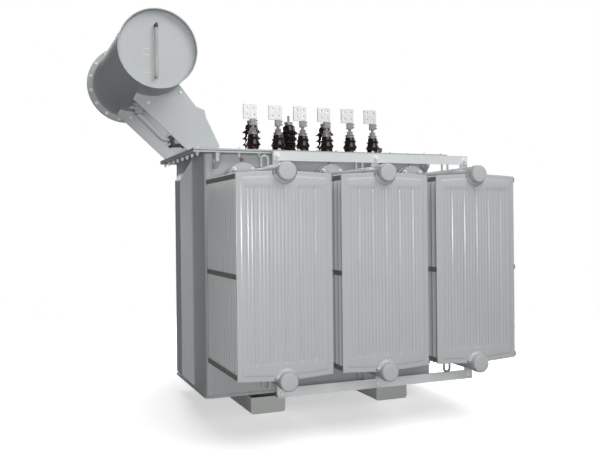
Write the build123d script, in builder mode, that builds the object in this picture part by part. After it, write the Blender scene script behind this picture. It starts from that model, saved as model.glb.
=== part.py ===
from build123d import *
import os

# Oil-filled power transformer: a plate tank on two skids, plate radiators along both long
# walls, an oil conservator beside the cover, and bushings on top. Lengths are in millimetres.
# X runs along the tank, Y from the low-voltage side to the high-voltage side, Z is up.
# The origin is on the floor, under the middle of the tank.

# Tank
tank_length = 1552
tank_width = 802
tank_wall = 8
tank_corner_radius = 28
bottom_thickness = 14
bottom_overhang = 12
rim_height = 1571
rim_thickness = 12
rim_overhang = 90
cover_thickness = 12

# Skids, open-topped channels closed at both ends
skid_gauge = 846
skid_width = 220
skid_height = 100
skid_length = 994
skid_plate = 10
skid_corner_radius = 18
fixing_hole_radius = 11
fixing_hole_span = 900

# Box stiffeners on the end walls, cut off at a slant above and below
stiffener_width = 148
stiffener_depth = 78
stiffener_top_gap = 12
stiffener_top_slant = 129
stiffener_bottom_slant = 75

# Lifting lugs under the rim
lug_thickness = 22
lug_height = 91
lug_reach = 86
lug_setback = 55
lug_chamfer = 38
lug_eye_radius = 20
lug_eye_reach = 44
lug_eye_drop = 46

# Radiators: pressed panels threaded on an upper and a lower header
radiator_pitch = 575
front_radiators = 3
rear_radiators = 2
radiator_reach = 823
panel_width = 520
panel_low_rise = 14
panel_high_drop = 9
panel_rise = 12
panel_seam = 3
panel_border = 18
press_depth = 4
press_taper = 40
fin_count = 13
fin_pitch = 45.5
fin_thickness = 7
flute_count = 5
flute_pitch = 81
flute_width = 22
flute_low_margin = 76
flute_high_margin = 84
header_low = 348
header_high = 1412
header_radius = 44.5
header_gap = 0.3
octagon_share = 0.41421356
cap_radius = 49
cap_length = 42
cap_chamfer = 6
eye_setback = 315
eye_width = 52
eye_height = 112
eye_thickness = 12
eye_bar = 13
eye_chamfer = 14
strap_height = 25
strap_thickness = 4
strap_inset = 20

# Shut-off valves between the headers and the tank
stub_length = 57
flange_radius = 100
flange_thickness = 18
valve_thickness = 36
valve_radius = 76
valve_sides = 8
spindle_width = 18
spindle_length = 52
spindle_cap_width = 30
spindle_cap_length = 20

# Angle bars that tie the radiators together
tie_leg = 50
tie_thickness = 5
tie_overhang = 21
upper_tie_setback = 110
upper_tie_rise = 62
lower_tie_setback = 84
lower_tie_drop = 53
tie_lug_width = 50
tie_lug_thickness = 8
tie_lug_cover = 36

# Conservator, its plates and its brackets
conservator_reach = 309
conservator_rise = 540
conservator_radius = 225
conservator_wall = 5
conservator_length = 1180
front_plate_recess = 45
front_plate_thickness = 6
end_flange_radius = 265
end_flange_thickness = 14
end_cover_thickness = 12
bracket_inset = 73
bracket_thickness = 10
bracket_foot_length = 212
saddle_from = 249
saddle_to = 320
bracket_tip_shares = (-0.232, 0.541)
bracket_inner_shares = [(0.956, 0.091), (0.784, 0.370), (0.763, 0.454), (0.643, 0.489)]
seat_gap = 0.3

# Oil level gauge on the conservator's front plate
gauge_shift = -7
gauge_drop = 9
gauge_span = 290
gauge_stand_off = 24
gauge_glass_radius = 9
gauge_block_width = 24
gauge_block_height = 26
gauge_block_depth = 34
gauge_neck_radius = 9

# Oil pipe from the conservator through the gas relay to the cover
pipe_radius = 15
pipe_top_shift = -15
pipe_bend_radius = 58
pipe_knee_drop = 64
pipe_run_lead = 41
pipe_run_rise = 95
pipe_down_inset = 141
pipe_foot_radius = 44
pipe_foot_thickness = 12
relay_lead = 133
relay_length = 92
relay_flange = 104
relay_flange_thickness = 10
relay_body_width = 84
relay_body_height = 108
relay_body_chamfer = 12
relay_dome_radius = 26
relay_dome_height = 22

# Low-voltage bushings in a row along the front of the cover
lv_count = 6
lv_pitch = 170
lv_setback = 141
lv_body_radius = 39
lv_shed_radius = 47
lv_top_radius = 34
lv_porcelain_height = 118
lv_height_shares = [0.14, 0.22, 0.42, 0.52, 0.62]
lv_collar_radius = 28
lv_collar_thickness = 12
lv_stem_radius = 10
lv_stem_length = 46
clamp_width = 34
clamp_height = 40
clamp_depth = 34
palm_width = 90
palm_height = 92
palm_thickness = 10
palm_offset = -18
palm_hole_radius = 7.15
palm_hole_pitch = 44.45

# High-voltage bushings along the back of the cover
hv_count = 3
hv_pitch = 280
hv_setback = 186
hv_body_radius = 46
hv_shed_radius = 66
hv_top_radius = 32
hv_porcelain_height = 250
hv_base_height = 34
hv_shed_count = 4
hv_shed_lip = 8
hv_cap_radius = 30
hv_cap_height = 22
hv_stud_radius = 8
hv_stud_length = 46

# Small fittings at the right end of the cover
pocket_inset = 256
pocket_y = -130
pocket_radius = 13
pocket_height = 58
pocket_nut_radius = 22
pocket_nut_height = 20
tap_inset = 176
tap_y = 20
tap_flange_radius = 62
tap_flange_thickness = 14
tap_neck_radius = 34
tap_neck_height = 44
tap_knob_radius = 44
tap_knob_height = 26
tap_knob_sides = 8

# Every cut runs past the faces it opens by this much
overrun = 5

# Heights and places that follow from the sizes above
tank_bottom_height = skid_height + bottom_thickness
cover_underside = rim_height + rim_thickness
cover_top = cover_underside + cover_thickness
tank_half_length = tank_length / 2
tank_half_width = tank_width / 2
cover_end = tank_half_length + rim_overhang
radiator_face = tank_half_width + radiator_reach
panel_low = header_low + panel_low_rise
panel_high = header_high - panel_high_drop
flute_low = panel_low + flute_low_margin
flute_high = panel_high - flute_high_margin
conservator_x = -tank_half_length - conservator_reach
conservator_height = cover_top + conservator_rise
lv_y = -tank_half_width + lv_setback
hv_y = tank_half_width - hv_setback
pocket_x = tank_half_length - pocket_inset
tap_x = tank_half_length - tap_inset
stub_face = tank_half_width + stub_length
valve_face = stub_face + flange_thickness
header_flange_face = valve_face + valve_thickness
pipe_end = header_flange_face + flange_thickness
front_panel_depth = panel_seam + press_depth + press_depth
front_panel_place = radiator_face - front_panel_depth / 2
radiator_back = front_panel_place - (fin_count - 1) * fin_pitch - fin_thickness / 2
bracket_spacing = tank_width - 2 * bracket_inset
sides = {"front": -1, "rear": 1}
radiator_counts = {"front": front_radiators, "rear": rear_radiators}
radiator_names = {"front": ["left", "middle", "right"], "rear": ["left", "right"]}
radiator_places = {
    row: [radiator_pitch * (k - (count - 1) / 2) for k in range(count)]
    for row, count in radiator_counts.items()
}
stand = (Align.CENTER, Align.CENTER, Align.MIN)

os.makedirs("parts", exist_ok=True)


def save(piece, name):
    """Label a finished piece and write it as a node of its own."""
    piece.part.label = name
    export_step(piece.part, f"parts/{name}.step")


def outward(x, depth, z, side):
    """A place at a distance from the tank's middle, with its own Z pointing away from the tank."""
    return Location((x, side * depth, z), (-side * 90, 0, 0))


def upright(side, depth):
    """The vertical plane at a distance from the tank's middle, its normal towards -Y."""
    return Plane.XZ.offset(-side * depth)


# Skids
for name, place in {"left": -skid_gauge / 2, "right": skid_gauge / 2}.items():
    with BuildPart() as skid:
        with BuildSketch(upright(1, skid_length / 2)):
            with Locations((place, skid_height / 2)):
                Rectangle(skid_width, skid_height)
        extrude(amount=skid_length)
        fillet(skid.edges().filter_by(Axis.Y).group_by(Axis.Z)[0], radius=skid_corner_radius)
        with BuildSketch(Plane.XY.offset(skid_plate)):
            with Locations((place, 0)):
                Rectangle(skid_width - 2 * skid_plate, skid_length - 2 * skid_plate)
        extrude(amount=skid_height, mode=Mode.SUBTRACT)
        with BuildSketch(Plane.XY.offset(-overrun)):
            with Locations((place, 0)):
                with GridLocations(0, fixing_hole_span, 1, 2):
                    Circle(fixing_hole_radius)
        extrude(amount=skid_plate + 2 * overrun, mode=Mode.SUBTRACT)
    save(skid, f"{name}_skid")

# Tank: bottom plate, four walls in one ring, rim and cover
with BuildPart() as tank_bottom:
    with BuildSketch(Plane.XY.offset(skid_height)):
        RectangleRounded(
            tank_length + 2 * bottom_overhang, tank_width + 2 * bottom_overhang, tank_corner_radius
        )
    extrude(amount=bottom_thickness)
save(tank_bottom, "tank_bottom")

with BuildPart() as tank_shell:
    with BuildSketch(Plane.XY.offset(tank_bottom_height)):
        RectangleRounded(tank_length, tank_width, tank_corner_radius)
        offset(amount=-tank_wall, mode=Mode.SUBTRACT)
    extrude(amount=cover_underside - tank_bottom_height)
save(tank_shell, "tank_shell")

with BuildPart() as tank_rim:
    with BuildSketch(Plane.XY.offset(rim_height)):
        Rectangle(tank_length + 2 * rim_overhang, tank_width + 2 * rim_overhang)
        RectangleRounded(tank_length, tank_width, tank_corner_radius, mode=Mode.SUBTRACT)
    extrude(amount=rim_thickness)
save(tank_rim, "tank_rim")

with BuildPart() as tank_cover:
    with BuildSketch(Plane.XY.offset(cover_underside)):
        Rectangle(tank_length + 2 * rim_overhang, tank_width + 2 * rim_overhang)
    extrude(amount=cover_thickness)
save(tank_cover, "tank_cover")

# End stiffeners
for name, hand in {"left": -1, "right": 1}.items():
    wall_x = hand * tank_half_length
    outer_x = hand * (tank_half_length + stiffener_depth)
    top = rim_height - stiffener_top_gap
    with BuildPart() as stiffener:
        with BuildSketch(upright(1, stiffener_width / 2)):
            with BuildLine():
                Polyline(
                    (wall_x, tank_bottom_height),
                    (outer_x, tank_bottom_height + stiffener_bottom_slant),
                    (outer_x, top - stiffener_top_slant),
                    (wall_x, top),
                    close=True,
                )
            make_face()
        extrude(amount=stiffener_width)
    save(stiffener, f"{name}_end_stiffener")

# Lifting lugs: one near each corner of the tank, with an eye for a shackle
with BuildPart() as lifting_lugs:
    for side in sides.values():
        for hand in (-1, 1):
            lug_x = hand * (tank_half_length - lug_setback)
            with BuildSketch(Plane.YZ.offset(lug_x - lug_thickness / 2)):
                with BuildLine():
                    Polyline(
                        (side * tank_half_width, rim_height),
                        (side * tank_half_width, rim_height - lug_height),
                        (side * (tank_half_width + lug_reach - lug_chamfer), rim_height - lug_height),
                        (side * (tank_half_width + lug_reach), rim_height - lug_height + lug_chamfer),
                        (side * (tank_half_width + lug_reach), rim_height),
                        close=True,
                    )
                make_face()
                with Locations((side * (tank_half_width + lug_eye_reach), rim_height - lug_eye_drop)):
                    Circle(lug_eye_radius, mode=Mode.SUBTRACT)
            extrude(amount=lug_thickness)
save(lifting_lugs, "lifting_lugs")


def panel_outline(place):
    """Corner points of a radiator panel, with half an octagon let in round each header."""
    half = panel_width / 2
    reach = header_radius + header_gap
    tuck = reach * octagon_share
    bottom = [
        (-half, panel_low),
        (-reach, panel_low - panel_rise),
        (-reach, header_low + tuck),
        (-tuck, header_low + reach),
        (tuck, header_low + reach),
        (reach, header_low + tuck),
        (reach, panel_low - panel_rise),
        (half, panel_low),
    ]
    top = [
        (half, panel_high),
        (reach, panel_high + panel_rise),
        (reach, header_high - tuck),
        (tuck, header_high - reach),
        (-tuck, header_high - reach),
        (-reach, header_high - tuck),
        (-reach, panel_high + panel_rise),
        (-half, panel_high),
    ]
    return [(place + x, z) for x, z in bottom + top]


def radiator_fins(place, side):
    """All panels of one radiator: the outermost with its pressed field and flutes, plain ones behind."""
    outline = panel_outline(place)
    out = side * (front_panel_place + panel_seam / 2)
    flute_middle = (flute_low + flute_high) / 2
    with BuildPart() as fins:
        with BuildSketch(upright(side, front_panel_place)):
            with BuildLine():
                Polyline(*outline, close=True)
            make_face()
        extrude(amount=panel_seam / 2, both=True)
        for sense in (1, -1):
            seam_face = side * (front_panel_place + sense * panel_seam / 2)
            field = Plane((0, seam_face, 0), (1, 0, 0), (0, sense * side, 0))
            with BuildSketch(field):
                with BuildLine():
                    Polyline(*[(x, -sense * side * z) for x, z in outline], close=True)
                make_face()
                offset(amount=-panel_border, kind=Kind.INTERSECTION, mode=Mode.REPLACE)
            extrude(amount=press_depth, taper=press_taper)
        with BuildSketch(Plane((place, out, flute_middle), (0, 0, 1), (0, side, 0))):
            with GridLocations(0, flute_pitch, 1, flute_count):
                SlotOverall(flute_high - flute_low, flute_width)
        extrude(amount=press_depth + overrun, mode=Mode.SUBTRACT)
        with BuildSketch(*[upright(side, front_panel_place - k * fin_pitch) for k in range(1, fin_count)]):
            with BuildLine():
                Polyline(*outline, close=True)
            make_face()
        extrude(amount=fin_thickness / 2, both=True)
    return fins


def radiator_headers(place, side):
    """Both headers of one radiator, each with its end cap, its flange and the lug for the tie bar."""
    ties = [
        (header_high, radiator_face - upper_tie_setback, upper_tie_rise + tie_lug_cover, Align.MIN),
        (header_low, radiator_face - lower_tie_setback, lower_tie_drop + tie_lug_cover, Align.MAX),
    ]
    with BuildPart() as headers:
        for z, tie_front, lug_length, lug_align in ties:
            with Locations(outward(place, pipe_end, z, side)):
                Cylinder(header_radius, radiator_face - pipe_end, align=stand)
            with Locations(outward(place, radiator_face, z, side)):
                Cylinder(cap_radius, cap_length, align=stand)
            with Locations((place, side * (tie_front - tie_thickness - tie_lug_thickness / 2), z)):
                Box(
                    tie_lug_width,
                    tie_lug_thickness,
                    lug_length,
                    align=(Align.CENTER, Align.CENTER, lug_align),
                )
            with Locations(outward(place, header_flange_face, z, side)):
                Cylinder(flange_radius, flange_thickness, align=stand)
        rims = headers.edges().filter_by(GeomType.CIRCLE).sort_by(Axis.Y, reverse=side > 0)
        chamfer(rims[:2], length=cap_chamfer)
        eye_place = radiator_face - eye_setback
        with BuildSketch(upright(side, eye_place)) as lifting_eye:
            with Locations((place, header_high + eye_height / 2)):
                Rectangle(eye_width, eye_height)
            chamfer(lifting_eye.vertices().group_by(Axis.Y)[-1], length=eye_chamfer)
            with Locations((place, header_high)):
                Rectangle(
                    eye_width - 2 * eye_bar,
                    eye_height - eye_bar,
                    align=(Align.CENTER, Align.MIN),
                    mode=Mode.SUBTRACT,
                )
        extrude(amount=eye_thickness / 2, both=True)
    return headers


for row, side in sides.items():
    for name, place in zip(radiator_names[row], radiator_places[row]):
        save(radiator_fins(place, side), f"{row}_{name}_radiator_fins")
        save(radiator_headers(place, side), f"{row}_{name}_radiator_headers")

# Flat bars welded across the edges of the panels, three on each flank of a radiator
strap_heights = [
    panel_low + strap_inset,
    (panel_low + panel_high) / 2,
    panel_high - strap_inset,
]
for row, side in sides.items():
    with BuildPart() as straps:
        for place in radiator_places[row]:
            for hand in (-1, 1):
                for z in strap_heights:
                    flank = place + hand * (panel_width + strap_thickness) / 2
                    with Locations((flank, side * (radiator_face + radiator_back) / 2, z)):
                        Box(strap_thickness, radiator_face - radiator_back, strap_height)
    save(straps, f"{row}_radiator_straps")

# Valves and the stubs they are bolted to on the tank wall
for row, side in sides.items():
    header_places = [(place, z) for place in radiator_places[row] for z in (header_low, header_high)]
    with BuildPart() as valves:
        with BuildSketch(upright(side, valve_face)):
            with Locations(*header_places):
                RegularPolygon(valve_radius, valve_sides, major_radius=False)
        extrude(amount=-side * valve_thickness)
        for place, z in header_places:
            with Locations((place, side * (valve_face + valve_thickness / 2), z + valve_radius)):
                Box(spindle_width, spindle_width, spindle_length, align=stand)
                Box(spindle_cap_width, spindle_cap_width, spindle_cap_length, align=stand)
    save(valves, f"{row}_radiator_valves")
    with BuildPart() as stubs:
        for place, z in header_places:
            with Locations(outward(place, tank_half_width, z, side)):
                Cylinder(header_radius, stub_length, align=stand)
            with Locations(outward(place, stub_face, z, side)):
                Cylinder(flange_radius, flange_thickness, align=stand)
    save(stubs, f"{row}_tank_stubs")

# Tie bars: an angle on the lugs of the upper headers and one on those of the lower headers
tie_levels = {
    "upper": (radiator_face - upper_tie_setback, header_high + upper_tie_rise, 1),
    "lower": (radiator_face - lower_tie_setback, header_low - lower_tie_drop, -1),
}
for row, side in sides.items():
    tie_length = (radiator_counts[row] - 1) * radiator_pitch + 2 * tie_overhang
    for level, (front, near_edge, sense) in tie_levels.items():
        far_edge = near_edge + sense * tie_leg
        with BuildPart() as tie_bar:
            with BuildSketch(Plane.YZ.offset(-tie_length / 2)):
                with BuildLine():
                    Polyline(
                        (side * front, near_edge),
                        (side * front, far_edge),
                        (side * (front - tie_leg), far_edge),
                        (side * (front - tie_leg), far_edge - sense * tie_thickness),
                        (side * (front - tie_thickness), far_edge - sense * tie_thickness),
                        (side * (front - tie_thickness), near_edge),
                        close=True,
                    )
                make_face()
            extrude(amount=tie_length)
        save(tie_bar, f"{row}_{level}_tie_bar")

# Conservator: a drum along Y with a recessed front plate and a bolted flange at the back
conservator_front = -conservator_length / 2
conservator_back = conservator_length / 2
plate_face = conservator_front + front_plate_recess
with BuildPart() as conservator_shell:
    with BuildSketch(Plane.XZ.offset(-conservator_back)):
        with Locations((conservator_x, conservator_height)):
            Circle(conservator_radius)
            Circle(conservator_radius - conservator_wall, mode=Mode.SUBTRACT)
    extrude(amount=conservator_length)
save(conservator_shell, "conservator_shell")

with BuildPart() as conservator_front_plate:
    with BuildSketch(Plane.XZ.offset(-plate_face - front_plate_thickness)):
        with Locations((conservator_x, conservator_height)):
            Circle(conservator_radius - conservator_wall)
    extrude(amount=front_plate_thickness)
save(conservator_front_plate, "conservator_front_plate")

with BuildPart() as conservator_end_flange:
    with BuildSketch(Plane.XZ.offset(-conservator_back)):
        with Locations((conservator_x, conservator_height)):
            Circle(end_flange_radius)
            Circle(conservator_radius, mode=Mode.SUBTRACT)
    extrude(amount=end_flange_thickness)
save(conservator_end_flange, "conservator_end_flange")

with BuildPart() as conservator_end_cover:
    with BuildSketch(Plane.XZ.offset(-conservator_back)):
        with Locations((conservator_x, conservator_height)):
            Circle(end_flange_radius)
    extrude(amount=-end_cover_thickness)
save(conservator_end_cover, "conservator_end_cover")

# Oil level gauge: a glass tube between two fittings on the front plate
gauge_x = conservator_x + gauge_shift
gauge_y = plate_face - gauge_stand_off
gauge_low = conservator_height - gauge_drop - gauge_span / 2
gauge_high = conservator_height - gauge_drop + gauge_span / 2
with BuildPart() as gauge_fittings:
    for z in (gauge_low, gauge_high):
        with Locations((gauge_x, gauge_y, z)):
            Box(gauge_block_width, gauge_block_depth, gauge_block_height)
        with Locations(outward(gauge_x, -plate_face, z, -1)):
            Cylinder(gauge_neck_radius, gauge_stand_off, align=stand)
save(gauge_fittings, "oil_gauge_fittings")

with BuildPart() as gauge_glass:
    with BuildSketch(Plane.XY.offset(gauge_low + gauge_block_height / 2)):
        with Locations((gauge_x, gauge_y)):
            Circle(gauge_glass_radius)
    extrude(amount=gauge_high - gauge_low - gauge_block_height)
save(gauge_glass, "oil_gauge_glass")

# Conservator brackets: plates that stand on the cover and lean out to a saddle under the drum
bracket_foot_x = bracket_foot_length - cover_end
bracket_span = bracket_foot_x - conservator_x
bracket_height = conservator_height - cover_top


def bracket_point(share):
    """A point of the bracket's outline from its shares of the span and of the height."""
    return (conservator_x + share[0] * bracket_span, cover_top + share[1] * bracket_height)


for row, side in sides.items():
    with BuildPart() as bracket:
        with BuildSketch(upright(side, side * bracket_thickness / 2 + bracket_spacing / 2)):
            with BuildLine():
                saddle = CenterArc(
                    (conservator_x, conservator_height),
                    conservator_radius + seat_gap,
                    saddle_from,
                    saddle_to - saddle_from,
                )
                Polyline(
                    saddle @ 0,
                    bracket_point(bracket_tip_shares),
                    (-cover_end, cover_top),
                    (bracket_foot_x, cover_top),
                    *[bracket_point(share) for share in bracket_inner_shares],
                    saddle @ 1,
                )
            make_face()
        extrude(amount=bracket_thickness)
    save(bracket, f"{row}_conservator_bracket")

# Oil pipe, cut to the drum at its top, and the gas relay in its level run
pipe_top_x = conservator_x + pipe_top_shift
pipe_knee_height = conservator_height - conservator_radius - pipe_knee_drop
pipe_run_height = cover_top + pipe_run_rise
pipe_down_x = pipe_down_inset - cover_end
relay_x = pipe_down_x - relay_lead
relay_left = relay_x - relay_length / 2
relay_right = relay_x + relay_length / 2
with BuildPart() as oil_pipe:
    with BuildLine(Plane.XZ) as upper_run:
        FilletPolyline(
            (pipe_top_x, conservator_height),
            (pipe_top_x, pipe_knee_height),
            (relay_left - pipe_run_lead, pipe_run_height),
            (relay_left, pipe_run_height),
            radius=pipe_bend_radius,
        )
    with BuildSketch(Plane(upper_run.line @ 0, z_dir=upper_run.line % 0)):
        Circle(pipe_radius)
    sweep(path=upper_run.line)
    with BuildSketch(Plane.XZ.offset(-conservator_back)):
        with Locations((conservator_x, conservator_height)):
            Circle(conservator_radius + seat_gap)
    extrude(amount=conservator_length, mode=Mode.SUBTRACT)
    with BuildLine(Plane.XZ) as lower_run:
        FilletPolyline(
            (relay_right, pipe_run_height),
            (pipe_down_x, pipe_run_height),
            (pipe_down_x, cover_top),
            radius=pipe_bend_radius,
        )
    with BuildSketch(Plane(lower_run.line @ 0, z_dir=lower_run.line % 0)):
        Circle(pipe_radius)
    sweep(path=lower_run.line)
    with BuildSketch(Plane.XY.offset(cover_top)):
        with Locations((pipe_down_x, 0)):
            Circle(pipe_foot_radius)
    extrude(amount=pipe_foot_thickness)
save(oil_pipe, "oil_pipe")

with BuildPart() as gas_relay:
    with Locations((relay_x, 0, pipe_run_height)):
        Box(relay_length - 2 * relay_flange_thickness, relay_body_width, relay_body_height)
    chamfer(gas_relay.edges().filter_by(Axis.X), length=relay_body_chamfer)
    for end in (relay_left + relay_flange_thickness / 2, relay_right - relay_flange_thickness / 2):
        with Locations((end, 0, pipe_run_height)):
            Box(relay_flange_thickness, relay_flange, relay_flange)
    with Locations((relay_x, 0, pipe_run_height + relay_body_height / 2)):
        Cylinder(relay_dome_radius, relay_dome_height, align=stand)
save(gas_relay, "gas_relay")

# Low-voltage bushings: porcelain, and the terminal with its clamp and drilled palm
lv_places = [lv_pitch * (k - (lv_count - 1) / 2) for k in range(lv_count)]
skirt_top, waist_low, waist_high, shed_middle, shed_top = [
    share * lv_porcelain_height for share in lv_height_shares
]
with BuildPart() as lv_insulators:
    for place in lv_places:
        with BuildSketch(Plane((place, lv_y, cover_top), (1, 0, 0), (0, -1, 0))):
            with BuildLine():
                Polyline(
                    (0, 0),
                    (lv_shed_radius, 0),
                    (lv_shed_radius, skirt_top),
                    (lv_body_radius, waist_low),
                    (lv_body_radius, waist_high),
                    (lv_shed_radius, shed_middle),
                    (lv_body_radius, shed_top),
                    (lv_top_radius, lv_porcelain_height),
                    (0, lv_porcelain_height),
                    close=True,
                )
            make_face()
        revolve(axis=Axis((place, lv_y, cover_top), (0, 0, 1)))
save(lv_insulators, "lv_insulators")

lv_collar_base = cover_top + lv_porcelain_height
clamp_base = lv_collar_base + lv_collar_thickness + lv_stem_length
palm_base = clamp_base + clamp_height
with BuildPart() as lv_terminals:
    for place in lv_places:
        with Locations((place, lv_y, lv_collar_base)):
            Cylinder(lv_collar_radius, lv_collar_thickness, align=stand)
            Cylinder(lv_stem_radius, lv_collar_thickness + lv_stem_length, align=stand)
        with Locations((place, lv_y, clamp_base)):
            Box(clamp_width, clamp_depth, clamp_height, align=stand)
        with BuildSketch(Plane.XZ.offset(-lv_y - palm_thickness / 2)):
            with Locations((place + palm_offset, palm_base + palm_height / 2)):
                Rectangle(palm_width, palm_height)
                with GridLocations(palm_hole_pitch, palm_hole_pitch, 2, 2):
                    Circle(palm_hole_radius, mode=Mode.SUBTRACT)
        extrude(amount=palm_thickness)
save(lv_terminals, "lv_terminals")

# High-voltage bushings: porcelain with sheds, cap and stud
hv_places = [hv_pitch * (k - (hv_count - 1) / 2) for k in range(hv_count)]
hv_shed_pitch = (hv_porcelain_height - hv_base_height) / (hv_shed_count + 1)
with BuildPart() as hv_insulators:
    for place in hv_places:
        sheds = []
        for k in range(hv_shed_count):
            foot = hv_base_height + (k + 1 / 2) * hv_shed_pitch
            sheds += [(hv_body_radius, foot), (hv_shed_radius, foot + hv_shed_lip)]
        with BuildSketch(Plane((place, hv_y, cover_top), (1, 0, 0), (0, -1, 0))):
            with BuildLine():
                Polyline(
                    (0, 0),
                    (hv_shed_radius, 0),
                    (hv_shed_radius, hv_base_height / 2),
                    *sheds,
                    (hv_top_radius, hv_porcelain_height),
                    (0, hv_porcelain_height),
                    close=True,
                )
            make_face()
        revolve(axis=Axis((place, hv_y, cover_top), (0, 0, 1)))
save(hv_insulators, "hv_insulators")

with BuildPart() as hv_terminals:
    for place in hv_places:
        with Locations((place, hv_y, cover_top + hv_porcelain_height)):
            Cylinder(hv_cap_radius, hv_cap_height, align=stand)
            Cylinder(hv_stud_radius, hv_cap_height + hv_stud_length, align=stand)
save(hv_terminals, "hv_terminals")

# Thermometer pocket with its hexagon cap, and the head of the tap changer
with BuildPart() as thermometer_pocket:
    with Locations((pocket_x, pocket_y, cover_top)):
        Cylinder(pocket_radius, pocket_height, align=stand)
    with BuildSketch(Plane.XY.offset(cover_top + pocket_height - pocket_nut_height)):
        with Locations((pocket_x, pocket_y)):
            RegularPolygon(pocket_nut_radius, 6)
    extrude(amount=pocket_nut_height)
save(thermometer_pocket, "thermometer_pocket")

with BuildPart() as tap_changer_head:
    with Locations((tap_x, tap_y, cover_top)):
        Cylinder(tap_flange_radius, tap_flange_thickness, align=stand)
        Cylinder(tap_neck_radius, tap_flange_thickness + tap_neck_height, align=stand)
    with BuildSketch(Plane.XY.offset(cover_top + tap_flange_thickness + tap_neck_height)):
        with Locations((tap_x, tap_y)):
            RegularPolygon(tap_knob_radius, tap_knob_sides)
    extrude(amount=tap_knob_height)
save(tap_changer_head, "tap_changer_head")
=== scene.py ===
"""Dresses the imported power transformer: radiator panels, headers, valves, porcelain, bolts and paint."""

import math

import bmesh
import bpy
from bpy.props import FloatProperty, FloatVectorProperty, IntProperty, PointerProperty
from mathutils import Matrix, Vector


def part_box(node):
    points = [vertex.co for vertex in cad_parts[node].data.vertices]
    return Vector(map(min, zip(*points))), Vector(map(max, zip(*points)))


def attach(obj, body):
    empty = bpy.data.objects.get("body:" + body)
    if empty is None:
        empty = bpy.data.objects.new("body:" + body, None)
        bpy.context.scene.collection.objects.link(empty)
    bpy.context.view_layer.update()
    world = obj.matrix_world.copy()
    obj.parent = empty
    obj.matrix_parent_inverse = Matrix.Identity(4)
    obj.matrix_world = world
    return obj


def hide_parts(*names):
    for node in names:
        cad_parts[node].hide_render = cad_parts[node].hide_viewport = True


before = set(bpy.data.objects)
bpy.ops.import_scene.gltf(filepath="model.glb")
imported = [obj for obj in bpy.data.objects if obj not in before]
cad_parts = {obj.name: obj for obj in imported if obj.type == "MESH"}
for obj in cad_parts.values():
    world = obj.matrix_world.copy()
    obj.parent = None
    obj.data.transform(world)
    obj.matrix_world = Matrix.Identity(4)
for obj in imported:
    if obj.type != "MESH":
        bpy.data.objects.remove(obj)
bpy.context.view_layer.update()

bl_info = {
    "name": "Power transformer",
    "version": (1, 0, 0),
    "blender": (4, 5, 0),
    "location": "3D View > Sidebar > Transformer",
    "description": "Models the visible detail of an oil-filled power transformer around its solids",
    "category": "Object",
}

half_turn = math.pi
quarter_turn = math.pi / 2
facings = {
    "+Z": (0, 0, 0),
    "-Z": (half_turn, 0, 0),
    "-Y": (quarter_turn, 0, 0),
    "+Y": (-quarter_turn, 0, 0),
    "+X": (0, quarter_turn, 0),
    "-X": (0, -quarter_turn, 0),
}
rows = {"front": -1, "rear": 1}
radiator_names = {"front": ("left", "middle", "right"), "rear": ("left", "right")}
outward = {"front": "-Y", "rear": "+Y"}
inward = {"front": "+Y", "rear": "-Y"}
smooth_angle = math.radians(32)
panel_seam = 0.003  # thickness of a radiator panel where its two sheets meet
low_voltage_count = 6
high_voltage_count = 3
hair = 0.0001  # how near two points have to lie to count as the same


def length(name, description, default):
    """A length that a user may change."""
    return FloatProperty(
        name=name, description=description, default=default, min=0, unit="LENGTH", subtype="DISTANCE"
    )


def count(name, description, default, least):
    """A number of like pieces that a user may change."""
    return IntProperty(name=name, description=description, default=default, min=least)


def colour(name, description, default):
    """A paint or metal colour that a user may change."""
    return FloatVectorProperty(
        name=name, description=description, default=default, min=0, max=1, size=3, subtype="COLOR"
    )


def power(name, description, default):
    """The power of a lamp, in watts."""
    return FloatProperty(name=name, description=description, default=default, unit="POWER")


def angle(name, description, degrees):
    """An angle that a user may change."""
    return FloatProperty(
        name=name, description=description, default=math.radians(degrees), unit="ROTATION"
    )


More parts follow.
